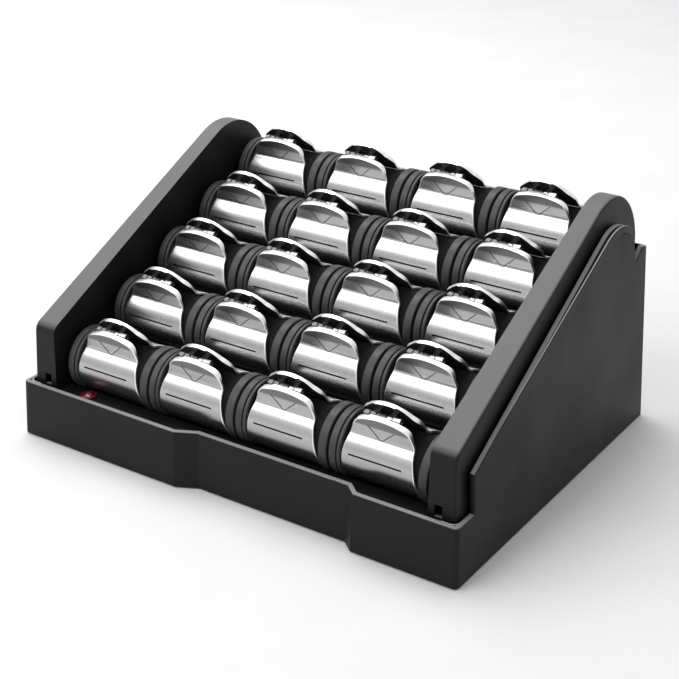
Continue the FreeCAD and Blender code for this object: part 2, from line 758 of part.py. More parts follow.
def make_heating_element():
    """One bent rod that runs under all rows, with a link at alternate ends."""
    pieces = []
    for row in range(ROWS):
        along = row_pitch * row
        run = (-dim.rod_reach, along, size(0))
        pieces.append(rod("rod_%d" % (row + 1), dim.rod_radius, run, dim.rod_reach * 2, "X"))
    for link in range(ROWS - 1):
        side = dim.rod_reach if link % 2 == 0 else -dim.rod_reach
        start = (side, row_pitch * link, size(0))
        pieces.append(rod("link_%d" % (link + 1), dim.rod_radius, start, row_pitch, "Y"))
        for row in (link, link + 1):
            elbow = doc.addObject("Part::Sphere", "elbow_%d_%d" % (link, row))
            bind(elbow, "Radius", dim.rod_radius)
            bind(elbow, "Placement.Base.x", side)
            bind(elbow, "Placement.Base.y", row_pitch * row)
            pieces.append(elbow)
    element = fused("element_flat", pieces)
    place, height = below_axis(0, dim.rod_depth)
    return placed("heating_element", [element], (0, place, height), rack_angle)


def make_thermostat():
    radius = dim.thermostat_radius
    height = dim.thermostat_height
    collar = dim.thermostat_collar
    outline = [
        (0, 0),
        (collar, 0),
        (collar, dim.thermostat_step),
        (radius, dim.thermostat_step),
        (radius, height),
        (0, height),
    ]
    disc = turned("thermostat_disc", outline)
    first = below_axis(1, dim.thermostat_depth)
    second = below_axis(2, dim.thermostat_depth)
    middle = (0, (first[0] + second[0]) / 2, (first[1] + second[1]) / 2)
    return placed("thermostat", [disc], middle, rack_angle)


def make_indicator_lens():
    flange = dim.lens_radius
    dome = dim.lens_dome
    flange_top = dim.lens_flange_sheet
    rise = dim.lens_rise - flange_top
    dome_radius = (dome * dome + rise * rise) / (rise * 2)
    outline = [
        (0, -dim.lens_stem_length),
        (dim.lens_stem, -dim.lens_stem_length),
        (dim.lens_stem, 0),
        (flange, 0),
        (flange, flange_top),
        (dome, flange_top, dome_radius, 1),
        (0, dim.lens_rise),
    ]
    lens = turned("lens_turning", outline)
    return placed("indicator_lens", [lens], (dim.lens_across, dim.lens_place, dim.deck_top))


# ---------------------------------------------------------------- underside

def make_bottom_plate():
    low = dim.base_lift
    high = dim.base_lift + dim.plate_sheet
    plate = extruded("plate_sheet_solid", "XY", footprint(dim.shell_wall + dim.plate_gap), low, high)
    tools = []
    below = dim.base_lift - 1
    head_room = dim.screw_head + dim.fit_gap
    head_depth = dim.screw_head_height + dim.fit_gap + 1
    for number, (across, place) in enumerate(corners(dim.boss_across, dim.boss_place)):
        foot = (across, place, below)
        tools.append(rod("screw_hole_%d" % number, dim.screw_radius + dim.fit_gap, foot, TOOL_REACH))
        tools.append(rod("counterbore_%d" % number, head_room, foot, head_depth))
    for number, (across, place) in enumerate(corners(dim.foot_across, dim.foot_place)):
        foot = (across, place, below)
        tools.append(rod("foot_recess_%d" % number, dim.foot_radius + dim.foot_gap, foot, dim.foot_height))
    return cut("bottom_plate", plate, fused("plate_tools", tools))


def make_rubber_feet():
    radius = dim.foot_radius
    edge = dim.foot_edge
    outline = [
        (0, 0),
        (radius - edge, 0, edge, 1),
        (radius, edge),
        (radius, dim.foot_height),
        (0, dim.foot_height),
    ]
    foot = turned("foot_turning", outline)
    feet = []
    for number, (across, place) in enumerate(corners(dim.foot_across, dim.foot_place)):
        feet.append(placed("foot_%d" % number, [foot], (across, place, 0)))
    return placed("rubber_feet", feet)


def make_housing_screws():
    outline = [
        (0, 0),
        (dim.screw_head, 0),
        (dim.screw_head, dim.screw_head_height),
        (dim.screw_radius, dim.screw_head_height),
        (dim.screw_radius, dim.screw_length),
        (0, dim.screw_length),
    ]
    screw = turned("screw_turning", outline)
    screws = []
    for number, (across, place) in enumerate(corners(dim.boss_across, dim.boss_place)):
        screws.append(placed("screw_%d" % number, [screw], (across, place, dim.base_lift)))
    return placed("housing_screws", screws)


def make_cord_gland():
    body = dim.gland_radius
    flange = dim.gland_flange
    flange_start = dim.gland_flange_start
    flange_end = dim.gland_flange_end
    outline = [
        (0, 0),
        (body, 0),
        (body, flange_start),
        (flange, flange_start),
        (flange, flange_end),
        (body, flange_end),
        (body, dim.gland_length),
        (0, dim.gland_length),
    ]
    turning = turned("gland_turning", outline)
    inner_end = (dim.gland_across, dim.gland_front, dim.gland_height)
    barrel = placed("gland_barrel", [turning], inner_end, size(-90))
    half_tongue = body - dim.fit_gap
    tongue_start = dim.gland_tongue_start
    low = (dim.gland_across - half_tongue, dim.gland_front + tongue_start, dim.base_lift)
    extent = (half_tongue * 2, dim.gland_length - tongue_start, dim.gland_height - dim.base_lift)
    solid = fused("gland_solid", [barrel, box("gland_tongue", low, extent)])
    bore_start = (dim.gland_across, dim.gland_front - TOOL_REACH, dim.gland_height)
    return cut("cord_gland", solid, rod("gland_bore_tool", dim.gland_bore, bore_start, TOOL_REACH * 3, "Y"))


# ---------------------------------------------------------------- roller

def make_roller():
    half = dim.roller_half
    deep = half - dim.end_recess_depth
    outline = [
        (-deep, 0),
        (-deep, dim.end_recess_radius),
        (-half, dim.end_recess_radius),
        (-half, dim.ring_radius),
        (dim.groove_left, dim.ring_radius),
        (dim.groove_left, dim.groove_radius),
        (dim.groove_right, dim.groove_radius),
        (dim.groove_right, dim.ring_radius),
        (dim.body_left, dim.ring_radius),
        (dim.body_left, dim.core_radius),
        (dim.body_right, dim.core_radius),
        (dim.body_right, dim.ring_radius),
        (half, dim.ring_radius),
        (half, dim.end_recess_radius),
        (deep, dim.end_recess_radius),
        (deep, 0),
    ]
    return turned("roller", outline, "H_Axis")


# ---------------------------------------------------------------- clip

def jaw_face(name, crest_level, crest_radius):
    """The jaw seen from its front, extruded through the whole clip."""
    middle = dim.clip_middle
    half = dim.crest_half
    foot = -dim.clip_radius
    outline = [
        (dim.clip_left, foot),
        (dim.clip_right, foot),
        (dim.clip_right, dim.right_straight_end),
        (dim.right_waist, dim.right_waist_level),
        (dim.right_neck, dim.right_neck_level),
        (dim.right_shoulder, crest_level - dim.right_shoulder_drop, dim.shoulder_radius, 1),
        (middle + half, crest_level, crest_radius, 1),
        (middle - half, crest_level, dim.shoulder_radius, 1),
        (dim.left_shoulder, crest_level - dim.left_shoulder_drop),
        (dim.left_neck, dim.left_neck_level),
        (dim.clip_left, dim.left_straight_end),
    ]
    return extruded(name, "XZ", outline, -dim.clip_radius * 2, dim.clip_radius * 2)


def wall_place(height, inset):
    """The straight wall's place in front of the hinge at a height, or that of its inner side."""
    neck = dim.jaw_neck_angle
    start = dim.clip_radius * sine(neck)
    return start - dim.jaw_lean * (height - dim.clip_radius * cosine(neck)) - inset


def jaw_sheet(name, crest_level, crest_radius, lip_back):
    """The round sheet, its straight wall and its folded lip."""
    foot = dim.jaw_foot_angle
    neck = dim.jaw_neck_angle
    outer = dim.clip_radius
    inner = dim.clip_radius - dim.clip_sheet
    above = crest_level + 10
    crest_rise = crest_radius - root(crest_radius * crest_radius - dim.crest_half * dim.crest_half)
    section = [
        (-sine(foot) * outer, cosine(foot) * outer, outer, -1),
        (-sine(neck) * outer, cosine(neck) * outer),
        (-wall_place(above, 0), above),
        (-lip_back, above),
        (-lip_back, crest_level + crest_rise - dim.lip_drop),
        (-wall_place(dim.lip_foot, dim.clip_sheet), dim.lip_foot),
        (-sine(neck) * inner, cosine(neck) * inner, inner, 1),
        (-sine(foot) * inner, cosine(foot) * inner),
    ]
    wide = dim.clip_radius * 2
    solid = extruded(name + "_section", "YZ", section, -wide, wide)
    blank = common(name + "_blank", solid, jaw_face(name + "_face", crest_level, crest_radius))
    low = dim.clip_radius * cosine(neck)
    behind = [
        (-wall_place(low, dim.clip_sheet), low),
        (-wall_place(above, dim.clip_sheet), above),
        (size(1), above),
        (size(1), low),
    ]
    behind_wall = extruded(name + "_behind", "YZ", behind, -wide, wide)
    under_lip = jaw_face(name + "_under_lip", crest_level - dim.clip_sheet, crest_radius)
    return cut(name + "_sheet", blank, common(name + "_inside", behind_wall, under_lip))


def knuckle_with_web(name, left, width):
    """A rolled knuckle about the hinge, with the strip that joins it to the jaw's wall."""
    hinge = dim.hinge_level
    front = wall_place(hinge, dim.clip_sheet / 2)
    rear = dim.knuckle_bore + 0.3
    barrel = rod(name, dim.knuckle_radius, (left, 0, hinge), width, "X")
    web = box(name + "_web", (left, -front, hinge - dim.web_drop), (width, front - rear, dim.web_sheet))
    bore = rod(name + "_bore", dim.knuckle_bore, (left - 0.5, 0, hinge), width + 1, "X")
    return [barrel, web], bore


def slit_tool(name):
    """The slot's cutting block, square to the round sheet at the slit's angle."""
    angle = dim.slit_angle
    reach = dim.clip_radius - 2
    half = dim.slit_width / 2
    place = -sine(angle) * reach - cosine(angle) * half
    height = cosine(angle) * reach - sine(angle) * half
    low = (dim.slit_middle - dim.slit_length / 2, place, height)
    tool = box(name, low, (dim.slit_length, dim.slit_width, size(4)))
    tool.Placement = FreeCAD.Placement(tool.Placement.Base, FreeCAD.Rotation(FreeCAD.Vector(1, 0, 0), 1))
    bind(tool, "Placement.Rotation.Angle", angle)
    return tool


def jaw(name, crest_level, crest_radius, lip_back, knuckles):
    """A front jaw, cut at its slit and its knuckles' bores."""
    pieces = [jaw_sheet(name, crest_level, crest_radius, lip_back)]
    tools = [slit_tool(name + "_slit_tool")]
    for knuckle, _, _ in knuckles:
        left = getattr(dim, knuckle + "_left")
        width = getattr(dim, knuckle + "_width")
        solids, bore = knuckle_with_web(name + "_" + knuckle, left, width)
        pieces += solids
        tools.append(bore)
    return cut(name, fused(name + "_pieces", pieces), fused(name + "_tools", tools))


def make_clip_masters():
    front = jaw("front_jaw", dim.front_crest_level, dim.front_crest_radius, dim.lip_back, FRONT_KNUCKLES)
    level = dim.rear_crest_level
    radius = dim.rear_crest_radius
    rear_as_front = jaw("rear_jaw_facing_front", level, radius, dim.rear_lip_back, REAR_KNUCKLES)
    rear = mirrored("rear_jaw", rear_as_front, FreeCAD.Vector(0, 1, 0))
    hinge = dim.hinge_level
    pin = rod("pin", dim.pin_radius, (dim.pin_left, 0, hinge), dim.pin_right - dim.pin_left, "X")
    long = dim.spring_right - dim.spring_left
    coil = rod("coil_outside", dim.spring_radius, (dim.spring_left, 0, hinge), long, "X")
    core = rod("coil_inside", dim.knuckle_bore, (dim.spring_left - 1, 0, hinge), long + 2, "X")
    return front, rear, pin, cut("spring", coil, core)


# ---------------------------------------------------------------- the whole setter

nodes = [
    make_outer_shell(),
    make_rack_tray(),
    make_heater_cradles(),
    make_heating_element(),
    make_thermostat(),
    make_indicator_lens(),
    make_bottom_plate(),
    make_rubber_feet(),
    make_housing_screws(),
    make_cord_gland(),
]
nodes += make_cheeks()
roller = make_roller()
front_jaw, rear_jaw, pin, spring = make_clip_masters()
for row in range(ROWS):
    for column in range(COLUMNS):
        place, height = row_axis(row)
        middle = (column_middle(column), place, height)
        spot = "r%dc%d" % (row + 1, column + 1)
        nodes.append(placed("roller_" + spot, [roller], middle, 0))
        if row > 0:
            nodes.append(placed("clip_" + spot, [front_jaw, rear_jaw, pin, spring], middle, dim.clip_tilt))
            continue
        nodes.append(placed("clip_front_jaw_" + spot, [front_jaw], middle, dim.clip_tilt))
        nodes.append(placed("clip_rear_jaw_" + spot, [rear_jaw], middle, dim.clip_tilt))
        nodes.append(placed("clip_pin_and_spring_" + spot, [pin, spring], middle, dim.clip_tilt))
doc.recompute()

# ---------------------------------------------------------------- checks, then the files

for thing in doc.Objects:
    if "Invalid" in thing.State or "Error" in thing.State:
        raise RuntimeError("%s failed: %s" % (thing.Name, thing.State))
os.makedirs("parts", exist_ok=True)
for node in nodes:
    node.Label = node.Name
    if node.Shape.isNull() or not node.Shape.isValid() or not node.Shape.Solids:
        raise RuntimeError(node.Name + " has no sound shape")
for node in nodes:
    node.Shape.exportStep("parts/%s.step" % node.Label)
    print("%-28s %2d solids %10.1f mm3" % (node.Label, len(node.Shape.Solids), node.Shape.Volume))
print(len(nodes), "nodes")
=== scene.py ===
"""Looks of a heated setter base with twenty rollers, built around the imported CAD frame.

Lengths in this script are millimetres until a mesh, a light or the camera is made.
"""

import math

import bpy
from mathutils import Matrix, Vector


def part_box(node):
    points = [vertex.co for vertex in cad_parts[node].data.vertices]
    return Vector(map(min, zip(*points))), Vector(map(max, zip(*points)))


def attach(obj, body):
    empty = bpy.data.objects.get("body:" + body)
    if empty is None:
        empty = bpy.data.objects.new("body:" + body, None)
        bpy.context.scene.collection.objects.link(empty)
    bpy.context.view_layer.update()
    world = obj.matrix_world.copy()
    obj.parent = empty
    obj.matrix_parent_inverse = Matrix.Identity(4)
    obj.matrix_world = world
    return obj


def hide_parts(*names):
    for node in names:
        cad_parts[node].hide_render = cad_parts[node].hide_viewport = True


MM = 0.001
ROWS = 5
COLUMNS = 4

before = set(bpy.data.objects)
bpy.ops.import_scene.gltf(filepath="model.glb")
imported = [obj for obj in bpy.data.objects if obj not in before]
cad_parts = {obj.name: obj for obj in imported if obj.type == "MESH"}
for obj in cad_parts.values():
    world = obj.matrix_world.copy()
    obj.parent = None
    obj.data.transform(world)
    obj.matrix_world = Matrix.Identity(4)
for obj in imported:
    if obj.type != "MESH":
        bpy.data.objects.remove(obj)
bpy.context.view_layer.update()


# ---------------------------------------------------------------- places, from the frame

def node_box(node):
    """Lowest and highest corner of a CAD node, in millimetres."""
    low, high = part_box(node)
    return Vector(low) / MM, Vector(high) / MM


def spots():
    """Each roller's row, name ending and middle."""
    for row in range(1, ROWS + 1):
        for column in range(1, COLUMNS + 1):
            ending = "r%dc%d" % (row, column)
            low, high = node_box("roller_" + ending)
            yield row, ending, (low + high) / 2


# ---------------------------------------------------------------- materials

class Finish:
    """A node material in the making. Its textures use the piece's own coordinates."""

    def __init__(self, name, roughness=0.5, metallic=0.0, specular=0.5):
        self.material = bpy.data.materials.new(name)
        self.material.use_nodes = True
        self.tree = self.material.node_tree
        self.shader = self.tree.nodes["Principled BSDF"]
        self.shader.inputs["Roughness"].default_value = roughness
        self.shader.inputs["Metallic"].default_value = metallic
        self.shader.inputs["Specular IOR Level"].default_value = specular
        self.coordinates = self.tree.nodes.new("ShaderNodeTexCoord")
        self.place = self.coordinates.outputs["Object"]

    def link(self, output, socket):
        self.tree.links.new(output, socket)

    def noise(self, grain_size, detail=2.0, stretch=(1, 1, 1)):
        """Soft noise whose grains are about grain_size millimetres, from 0 to 1."""
        mapping = self.tree.nodes.new("ShaderNodeMapping")
        mapping.inputs["Scale"].default_value = stretch
        self.link(self.place, mapping.inputs["Vector"])
        texture = self.tree.nodes.new("ShaderNodeTexNoise")
        texture.inputs["Scale"].default_value = 1 / (grain_size * MM)
        texture.inputs["Detail"].default_value = detail
        self.link(mapping.outputs["Vector"], texture.inputs["Vector"])
        return texture.outputs["Fac"]

    def along(self, axis):
        """The place along one of the piece's own axes, in metres."""
        parts = self.tree.nodes.new("ShaderNodeSeparateXYZ")
        self.link(self.place, parts.inputs["Vector"])
        return parts.outputs[axis]

    def facing_up(self):
        """The upward part of the piece's own surface direction, from -1 to 1."""
        parts = self.tree.nodes.new("ShaderNodeSeparateXYZ")
        self.link(self.coordinates.outputs["Normal"], parts.inputs["Vector"])
        return parts.outputs["Z"]

    def spread(self, value, low, high, start=0.3, stop=0.7):
        """The value's range from start to stop, stretched over low to high."""
        node = self.tree.nodes.new("ShaderNodeMapRange")
        node.inputs["From Min"].default_value = start
        node.inputs["From Max"].default_value = stop
        node.inputs["To Min"].default_value = low
        node.inputs["To Max"].default_value = high
        self.link(value, node.inputs["Value"])
        return node.outputs["Result"]

    def tint(self, value, first, second, start=0.3, stop=0.7):
        """Base colour from the first to the second as the value goes from start to stop."""
        ramp = self.tree.nodes.new("ShaderNodeValToRGB")
        ramp.color_ramp.elements[0].position = start
        ramp.color_ramp.elements[1].position = stop
        ramp.color_ramp.elements[0].color = (*first, 1)
        ramp.color_ramp.elements[1].color = (*second, 1)
        self.link(value, ramp.inputs["Fac"])
        self.link(ramp.outputs["Color"], self.shader.inputs["Base Color"])

    def rough(self, value, low, high):
        self.link(self.spread(value, low, high), self.shader.inputs["Roughness"])

    def bump(self, height, depth, strength=1.0):
        """Surface relief of about depth millimetres, over any relief set before."""
        node = self.tree.nodes.new("ShaderNodeBump")
        node.inputs["Strength"].default_value = strength
        node.inputs["Distance"].default_value = depth * MM
        self.link(height, node.inputs["Height"])
        before = self.shader.inputs["Normal"]
        if before.is_linked:
            self.link(before.links[0].from_socket, node.inputs["Normal"])
        self.link(node.outputs["Normal"], before)


def grey(level):
    return (level, level, level)


def moulded_plastic(name, level, top_level, roughness, grain_depth):
    """Black satin plastic with a fine grain, with a painted highlight: the sides that face up are coloured
    greyer.
    """
    highlight_start, highlight_full = 0.5, 0.92
    finish = Finish(name, specular=0.2)
    cloud = finish.noise(38, 3)
    grain = finish.noise(0.8, 2)
    facing = finish.facing_up()
    # painted highlight: the grey rises towards the top level as the surface turns to face up
    finish.tint(finish.spread(facing, 0, 1, highlight_start, highlight_full), grey(level), grey(top_level), 0, 1)
    finish.rough(cloud, roughness - 0.05, roughness + 0.05)
    finish.bump(grain, grain_depth)
    finish.bump(finish.noise(14, 1), 0.05, 0.35)
    return finish.material


def ring_rubber():
    """Dark grey matte rubber of the roller's end rings."""
    finish = Finish("ring_rubber", specular=0.45)
    finish.tint(finish.noise(6, 3), grey(0.020), grey(0.032))
    finish.rough(finish.noise(3, 2), 0.44, 0.60)
    finish.bump(finish.noise(0.7, 3), 0.05)
    return finish.material


def roller_flock():
    """Short black velvet on the roller's body."""
    finish = Finish("roller_flock", roughness=0.95, specular=0.1)
    finish.shader.inputs["Sheen Weight"].default_value = 0.03
    finish.shader.inputs["Sheen Roughness"].default_value = 0.6
    finish.tint(finish.noise(1.5, 4), grey(0.003), grey(0.008))
    finish.bump(finish.noise(0.5, 3), 0.2)
    return finish.material


def clip_steel():
    """Sheet steel with faint streaks along it, with painted shade: its colour darkens towards the jaw's
    foot.
    """
    foot_level, top_level = -14, 9
    shaded_foot_colour = (0.13, 0.128, 0.126)
    lit_top_colour = (0.46, 0.457, 0.453)
    finish = Finish("clip_steel", metallic=1.0)
    streaks = finish.noise(1.2, 3, stretch=(0.06, 1, 1))
    # painted shade: the colour darkens from the top level down to the foot level
    rise = finish.spread(finish.along("Z"), 0, 1, foot_level * MM, top_level * MM)
    finish.tint(rise, shaded_foot_colour, lit_top_colour, 0, 1)
    finish.rough(streaks, 0.25, 0.32)
    finish.bump(streaks, 0.004, 0.3)
    return finish.material


def lit_lip_steel():
    """The jaw's folded rim, the palest of the steels: a painted highlight, the jaw's steel coloured lighter
    where the rim catches the light from above.
    """
    finish = Finish("lit_lip_steel", metallic=1.0)
    # painted highlight: a lighter copy of the jaw's steel
    finish.tint(finish.noise(2, 3), grey(0.86), grey(0.95))
    finish.rough(finish.noise(1.5, 2), 0.30, 0.42)
    finish.bump(finish.noise(0.8, 2), 0.008)
    return finish.material


def shaded_inner_steel():
    """The jaw's inside and most knuckles, darker and duller than the outside: the darker colour is painted
    shade, a shaded copy of the jaw's steel.
    """
    finish = Finish("shaded_inner_steel", metallic=1.0)
    finish.tint(finish.noise(3, 3), grey(0.10), grey(0.20))
    finish.rough(finish.noise(1.5, 2), 0.40, 0.55)
    finish.bump(finish.noise(0.8, 2), 0.01)
    return finish.material


def wall_steel():
    """The jaw's satin wall, coloured darker in a strip under the lip: painted shade where the lip shades
    the wall.
    """
    shade_start, shade_full = 22.2, 23.4
    finish = Finish("wall_steel", metallic=1.0)
    streaks = finish.noise(1.0, 3, stretch=(0.06, 1, 1))
    # painted shade in the strip under the lip, darkening upwards
    rise = finish.spread(finish.along("Z"), 0, 1, shade_start * MM, shade_full * MM)
    finish.tint(rise, grey(0.50), grey(0.20), 0, 1)
    finish.rough(streaks, 0.30, 0.40)
    finish.bump(streaks, 0.010, 0.4)
    return finish.material


def crease_shade_steel():
    """The dark colour of the clip's pressed line: painted shade for the pressed crease."""
    finish = Finish("crease_shade_steel", metallic=1.0)
    finish.tint(finish.noise(0.8, 3), grey(0.03), grey(0.09))
    finish.rough(finish.noise(1.2, 2), 0.35, 0.6)
    return finish.material


def spring_steel():
    finish = Finish("spring_steel", metallic=1.0)
    finish.tint(finish.noise(1.5, 3), grey(0.22), grey(0.38))
    finish.rough(finish.noise(0.8, 2), 0.28, 0.42)
    finish.bump(finish.noise(0.4, 2), 0.01)
    return finish.material


def heater_aluminium():
    """Drawn aluminium of the heated cradles, with lines along the row."""
    finish = Finish("heater_aluminium", metallic=1.0)
    lines = finish.noise(0.6, 4, stretch=(0.02, 1, 1))
    finish.tint(finish.noise(20, 3), grey(0.42), grey(0.55))
    finish.rough(lines, 0.28, 0.45)
    finish.bump(lines, 0.03)
    return finish.material


def heater_rod_steel():
    finish = Finish("heater_rod_steel", metallic=1.0)
    finish.tint(finish.noise(8, 4), (0.20, 0.15, 0.11), (0.34, 0.31, 0.29))
    finish.rough(finish.noise(2, 3), 0.35, 0.55)
    finish.bump(finish.noise(0.7, 3), 0.03)
    return finish.material


def zinc_steel():
    finish = Finish("zinc_steel", metallic=1.0)
    finish.tint(finish.noise(2, 3), (0.40, 0.41, 0.43), (0.58, 0.58, 0.57))
    finish.rough(finish.noise(1, 3), 0.28, 0.5)
    finish.bump(finish.noise(0.5, 2), 0.02)
    return finish.material


def foot_rubber():
    finish = Finish("foot_rubber", specular=0.3)
    finish.tint(finish.noise(5, 3), grey(0.012), grey(0.024))
    finish.rough(finish.noise(2, 3), 0.7, 0.9)
    finish.bump(finish.noise(0.5, 3), 0.06)
    return finish.material


def lens_red():
    """Glossy dark red lens with a mottled tint and slight waves."""
    finish = Finish("lens_red", roughness=0.12)
    finish.shader.inputs["Coat Weight"].default_value = 0.6
    finish.shader.inputs["Coat Roughness"].default_value = 0.06
    finish.tint(finish.noise(1.1, 2), (0.05, 0.002, 0.004), (0.16, 0.008, 0.014))
    finish.bump(finish.noise(0.9, 1), 0.05)
    return finish.material


def floor_paper():
    """Pale paper sweep under the setter."""
    finish = Finish("floor_paper", roughness=0.8, specular=0.1)
    finish.tint(finish.noise(60, 3), grey(0.62), grey(0.64))
    finish.bump(finish.noise(3, 3), 0.02)
    return finish.material


STEEL = clip_steel()
LIT_LIP_STEEL = lit_lip_steel()
SHADED_INNER_STEEL = shaded_inner_steel()
WALL_STEEL = wall_steel()
CREASE_SHADE_STEEL = crease_shade_steel()
SPRING = spring_steel()
RUBBER = ring_rubber()
FLOCK = roller_flock()
# The greyer up-facing sides of the cheek, shell and seam plastics are a painted highlight.
CHEEK_PLASTIC = moulded_plastic("cheek_plastic", 0.006, 0.11, 0.44, 0.045)
SHELL_PLASTIC = moulded_plastic("shell_plastic", 0.005, 0.20, 0.46, 0.045)
# The seam strip's plastic has the palest painted highlight, for the lit rims along the seam.
SEAM_PLASTIC = moulded_plastic("seam_plastic", 0.01, 0.34, 0.42, 0.03)
TRAY_PLASTIC = moulded_plastic("tray_plastic", 0.004, 0.004, 0.52, 0.04)


def paint(node, material):
    """Puts one material in every slot of a CAD node."""
    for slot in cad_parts[node].material_slots:
        slot.material = material


# ---------------------------------------------------------------- mesh tools

def softened(outline, steps=4):
    """The outline's points, with each corner that names a radius rounded off."""
    points = []
    for number, corner in enumerate(outline):
        here = Vector(corner[:2])
        if len(corner) < 3:
            points.append(here)
            continue
        before = Vector(outline[number - 1][:2]) - here
        after = Vector(outline[(number + 1) % len(outline)][:2]) - here
        reach = min(corner[2] / math.tan(before.angle(after) / 2), before.length / 2, after.length / 2)
        start = here + before.normalized() * reach
        stop = here + after.normalized() * reach
        for step in range(steps + 1):
            part = step / steps
            points.append(start * (1 - part) ** 2 + here * 2 * part * (1 - part) + stop * part ** 2)
    return points


def make_mesh(name, points, faces, materials, choose=None, sharp=30):
    """A mesh from millimetre points, smooth up to the sharp angle."""
    mesh = bpy.data.meshes.new(name)
    mesh.from_pydata([Vector(point) * MM for point in points], [], faces)
    for material in materials:
        mesh.materials.append(material)
    if choose:
        for face in mesh.polygons:
            face.material_index = choose(face.center / MM)
    mesh.shade_smooth()
    mesh.set_sharp_from_angle(angle=math.radians(sharp))
    mesh.validate()
    return mesh


def lathe(name, outline, materials, choose=None, segments=72, sharp=30):
    """A mesh turned about X from (along X, radius) points. A point on the axis closes an end."""
    points = []
    faces = []
    rings = []
    for along, radius in outline:
        if radius < 1e-6:
            rings.append([len(points)])
            points.append((along, 0, 0))
            continue
        first = len(points)
        rings.append(list(range(first, first + segments)))
        for segment in range(segments):
            angle = math.tau * segment / segments
            points.append((along, radius * math.cos(angle), radius * math.sin(angle)))
    for ring, following in zip(rings, rings[1:]):
        for segment in range(segments):
            after = (segment + 1) % segments
            corners = [ring[segment % len(ring)], ring[after % len(ring)],
                       following[after % len(following)], following[segment % len(following)]]
            face = list(dict.fromkeys(corners))
            if len(face) > 2:
                faces.append(face[::-1])
    return make_mesh(name, points, faces, materials, choose, sharp)


# a start for a wire's sideways direction that no wire here runs along
ANY_SIDE = Vector((0.31, 0.17, 0.93))


def tube_along(points, radius, sides=6):
    """Points and faces of a round wire along a list of places, closed at both ends."""
    places = [Vector(point) for point in points]
    ring_points = []
    faces = []
    side = ANY_SIDE
    for number, place in enumerate(places):
        ahead = places[min(number + 1, len(places) - 1)] - places[max(number - 1, 0)]
        ahead.normalize()
        side = (side - ahead * side.dot(ahead)).normalized()
        up = ahead.cross(side)
        for step in range(sides):
            angle = math.tau * step / sides
            ring_points.append(place + (side * math.cos(angle) + up * math.sin(angle)) * radius)
    for number in range(len(places) - 1):
        for step in range(sides):
            after = (step + 1) % sides
            base = number * sides
            faces.append([base + step, base + after, base + sides + after, base + sides + step])
    faces.append(list(range(sides))[::-1])
    last = (len(places) - 1) * sides
    faces.append(list(range(last, last + sides)))
    return ring_points, faces


def joined(parts):
    """One list of points and faces from several."""
    points = []
    faces = []
    for part_points, part_faces in parts:
        shift = len(points)
        points += list(part_points)
        faces += [[corner + shift for corner in face] for face in part_faces]
    return points, faces


def place_object(name, mesh, matrix, body):
    """A piece of the mesh at the matrix, riding on the body."""
    obj = bpy.data.objects.new(name, mesh)
    bpy.context.scene.collection.objects.link(obj)
    obj.matrix_world = matrix
    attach(obj, body)
    return obj


# ---------------------------------------------------------------- rollers

ROLLER_HALF = 29.25
RING_RADIUS = 18.8
CORE_RADIUS = 16.0
GROOVE = (-25.1, -24.3, 17.4)
CORE_SPAN = (-22.4, 24.1)
RECESS = (13.0, 1.2)


def roller_mesh():
    """Rubber rings with rounded edges, a flocked body and dished ends with a hub."""
    half = ROLLER_HALF
    edge = 0.7
    groove_left, groove_right, groove_radius = GROOVE
    core_left, core_right = CORE_SPAN
    recess_radius, recess_depth = RECESS
    deep = half - recess_depth
    hub = 4.2

    def end(side):
        """From the axis to the ring, on the left for side -1."""
        return [
            (side * (deep + 0.1), 0),
            (side * (deep + 0.1), 1.6, 0.2),
            (side * (half - 0.4), 2.0, 0.3),
            (side * (half - 0.4), hub, 0.4),
            (side * deep, hub + 0.3, 0.3),
            (side * deep, recess_radius - 0.2, 0.4),
            (side * half, recess_radius, 0.3),
        ]

    outline = end(-1) + [
        (-half, RING_RADIUS, edge),
        (groove_left, RING_RADIUS, edge * 0.6),
        (groove_left + 0.1, groove_radius, 0.1),
        (groove_right - 0.1, groove_radius, 0.1),
        (groove_right, RING_RADIUS, edge * 0.6),
        (core_left, RING_RADIUS, edge),
        (core_left, CORE_RADIUS, 0.2),
        (core_right, CORE_RADIUS, 0.2),
        (core_right, RING_RADIUS, edge),
        (half, RING_RADIUS, edge),
    ] + end(1)[::-1]

    def flocked(middle):
        radius = math.hypot(middle.y, middle.z)
        return 1 if core_left < middle.x < core_right and radius < CORE_RADIUS + 0.2 else 0

    return lathe("roller", softened(outline), [RUBBER, FLOCK], flocked, segments=80)


# ---------------------------------------------------------------- clips
# A clip's own frame: X along the roller, front towards -Y, Z towards the hinge, origin on the
# roller's axis. "Ahead" is the distance in front of the hinge, "level" the distance along Z.

CLIP_TILT = math.radians(19.0)
CLIP_RADIUS = 18.0
SHEET = 0.5
FOLD = 0.6
FOOT_ANGLE = 113.0
NECK_ANGLE = 24.0
LEAN = 0.163
NECK_REACH = 1.5
HINGE_LEVEL = 25.2
FRONT_CREST = 26.0
CREST_MIDDLE = -1.2
CREST_HALF = 13.4
SHOULDER_RADIUS = 8.0
# the jaw's edges, as (level, across) from its foot up
LEFT_EDGE = [(-18.0, -22.0), (9.0, -22.0), (15.0, -20.5), (20.0, -18.5)]
RIGHT_EDGE = [(-18.0, 23.7), (-6.4, 23.7), (9.5, 20.7), (17.0, 18.2), (21.0, 17.0)]
SLIT_SPAN = (-18.3, 14.4)
SLIT_WIDTH = 0.9
SLIT_ANGLE = 62.0
